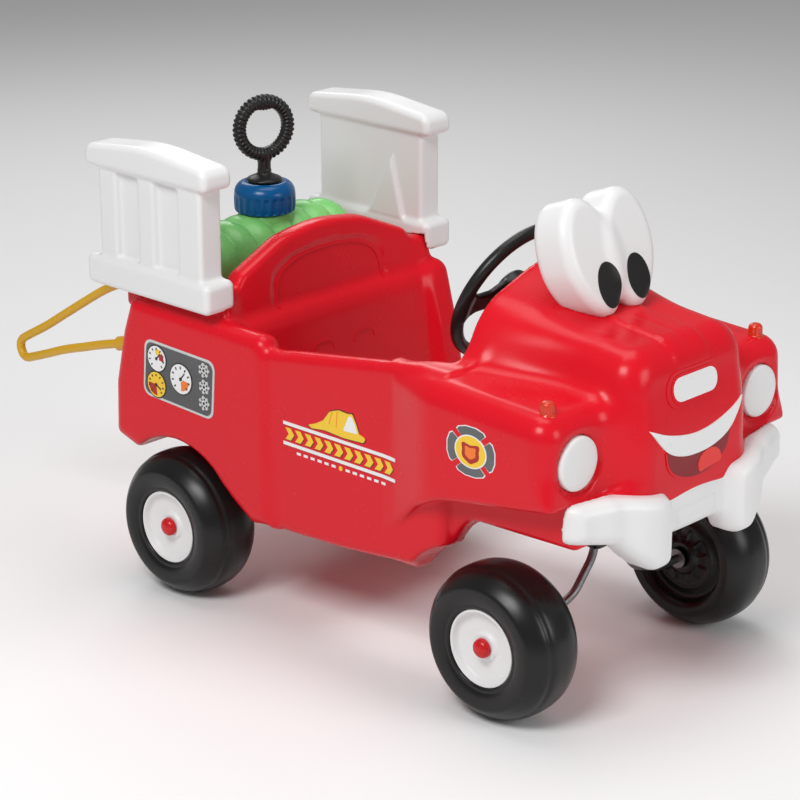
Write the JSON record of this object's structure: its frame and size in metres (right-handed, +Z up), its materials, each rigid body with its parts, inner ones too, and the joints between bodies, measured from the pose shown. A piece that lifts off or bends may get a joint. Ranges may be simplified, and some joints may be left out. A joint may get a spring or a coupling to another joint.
{
  "type": "ride-on toy fire truck",
  "caption": "Foot-to-floor toddler ride-on fire truck of moulded plastic with a smiling front, steering wheel, side rails, hand-pumped water tank and hose.",
  "frame": {"origin": "on the floor under the middle of the truck without its hose", "axes": "+X to the front of the truck, +Y to its left side, +Z up"},
  "size_m": [1.1004, 0.486, 0.6495],
  "materials": {
    "red_plastic": "glossy moulded polyethylene",
    "white_plastic": "glossy moulded polyethylene",
    "black_plastic": "satin moulded plastic",
    "tyre_plastic": "satin blow-moulded plastic",
    "green_plastic": "glossy moulded polyethylene",
    "blue_plastic": "glossy moulded plastic",
    "yellow_hose": "smooth flexible vinyl",
    "brass_fitting": "glossy moulded plastic",
    "steel_rod": "drawn steel",
    "lamp_red": "clear tinted plastic",
    "axle_cap_red": "glossy moulded plastic",
    "grey_label": "printed vinyl label",
    "dial_label": "printed vinyl label",
    "gold_label": "printed vinyl label",
    "badge_label": "printed vinyl label",
    "white_label": "printed vinyl label",
    "mouth_label": "printed vinyl label",
    "tongue_label": "printed vinyl label",
    "seal_rubber": "rubber"
  },
  "bodies": {
    "body": {"body_shell": "red_plastic", "rail_right": "white_plastic", "rail_left": "white_plastic", "water_tank": "green_plastic", "hose": "yellow_hose", "hose_outlet": "brass_fitting", "hose_nozzle": "brass_fitting", "rear_axle": "steel_rod", "axle_bushings": "black_plastic", "knuckle_bushing": "white_plastic", "column_bushing_upper": "white_plastic", "column_bushing_lower": "white_plastic", "bumper": "white_plastic", "headlight_right": "white_plastic", "headlight_left": "white_plastic", "fender_lamps": "lamp_red", "eyes": "white_plastic", "pupils": "black_plastic", "mouth": "mouth_label", "teeth": "white_label", "tongue": "tongue_label", "plaque": "white_label", "gauge_panels": "grey_label", "gauge_dials": "dial_label", "stripe_decals": "gold_label", "badges": "badge_label", "washers_rear": "steel_rod", "axle_cap_rear_right": "axle_cap_red", "axle_cap_rear_left": "axle_cap_red"},
    "cap": {"tank_cap": "blue_plastic", "pump_barrel": "black_plastic"},
    "pump": {"pump_rod": "black_plastic", "pump_handle": "black_plastic", "pump_piston": "black_plastic", "pump_seal": "seal_rubber"},
    "steering": {"steering_wheel": "black_plastic", "steering_column": "steel_rod", "column_nut": "steel_rod", "horn_spring": "seal_rubber"},
    "horn": {"horn_button": "axle_cap_red"},
    "front_axle_body": {"front_axle": "steel_rod", "steering_knuckle": "black_plastic", "axle_cap_front_right": "axle_cap_red", "axle_cap_front_left": "axle_cap_red", "washers_front": "steel_rod"},
    "wheel_front_right": {"tyre_front_right": "tyre_plastic", "hub_front_right": "white_plastic"},
    "wheel_front_left": {"tyre_front_left": "tyre_plastic", "hub_front_left": "white_plastic"},
    "wheel_rear_right": {"tyre_rear_right": "tyre_plastic", "hub_rear_right": "white_plastic"},
    "wheel_rear_left": {"tyre_rear_left": "tyre_plastic", "hub_rear_left": "white_plastic"}
  },
  "joints": [
    {"name": "axle_turn", "type": "hinge", "parent": "body", "child": "front_axle_body", "pos_m": [0.2795, 0, 0.25], "axis": [0, 0, 1], "range_deg": [-14, 14]},
    {"name": "steering_turn", "type": "hinge", "parent": "body", "child": "steering", "pos_m": [0.1175, 0, 0.467], "axis": [-0.9063, 0, 0.4226], "range_deg": [-28, 28]},
    {"name": "horn_push", "type": "slide", "parent": "steering", "child": "horn", "axis": [0.9063, 0, -0.4226], "range_m": [0, 0.003], "stiffness_N_per_m": 900, "springref_m": -0.0015, "deforming": ["horn_spring"]},
    {"name": "cap_turn", "type": "hinge", "parent": "body", "child": "cap", "pos_m": [-0.3335, 0, 0.5], "axis": [0, 0, 1], "range_deg": [0, 90]},
    {"name": "pump_stroke", "type": "slide", "parent": "cap", "child": "pump", "axis": [0, 0, 1], "range_m": [0, 0.06]},
    {"name": "wheel_front_right_spin", "type": "hinge", "parent": "front_axle_body", "child": "wheel_front_right", "pos_m": [0.2795, -0.196, 0.1], "axis": [0, 1, 0], "continuous": true},
    {"name": "wheel_front_left_spin", "type": "hinge", "parent": "front_axle_body", "child": "wheel_front_left", "pos_m": [0.2795, 0.196, 0.1], "axis": [0, 1, 0], "continuous": true},
    {"name": "wheel_rear_right_spin", "type": "hinge", "parent": "body", "child": "wheel_rear_right", "pos_m": [-0.2865, -0.196, 0.1], "axis": [0, 1, 0], "continuous": true},
    {"name": "wheel_rear_left_spin", "type": "hinge", "parent": "body", "child": "wheel_rear_left", "pos_m": [-0.2865, 0.196, 0.1], "axis": [0, 1, 0], "continuous": true}
  ],
  "couplings": [
    {"joint": "steering_turn", "follows": "axle_turn", "ratio": 2}
  ]
}
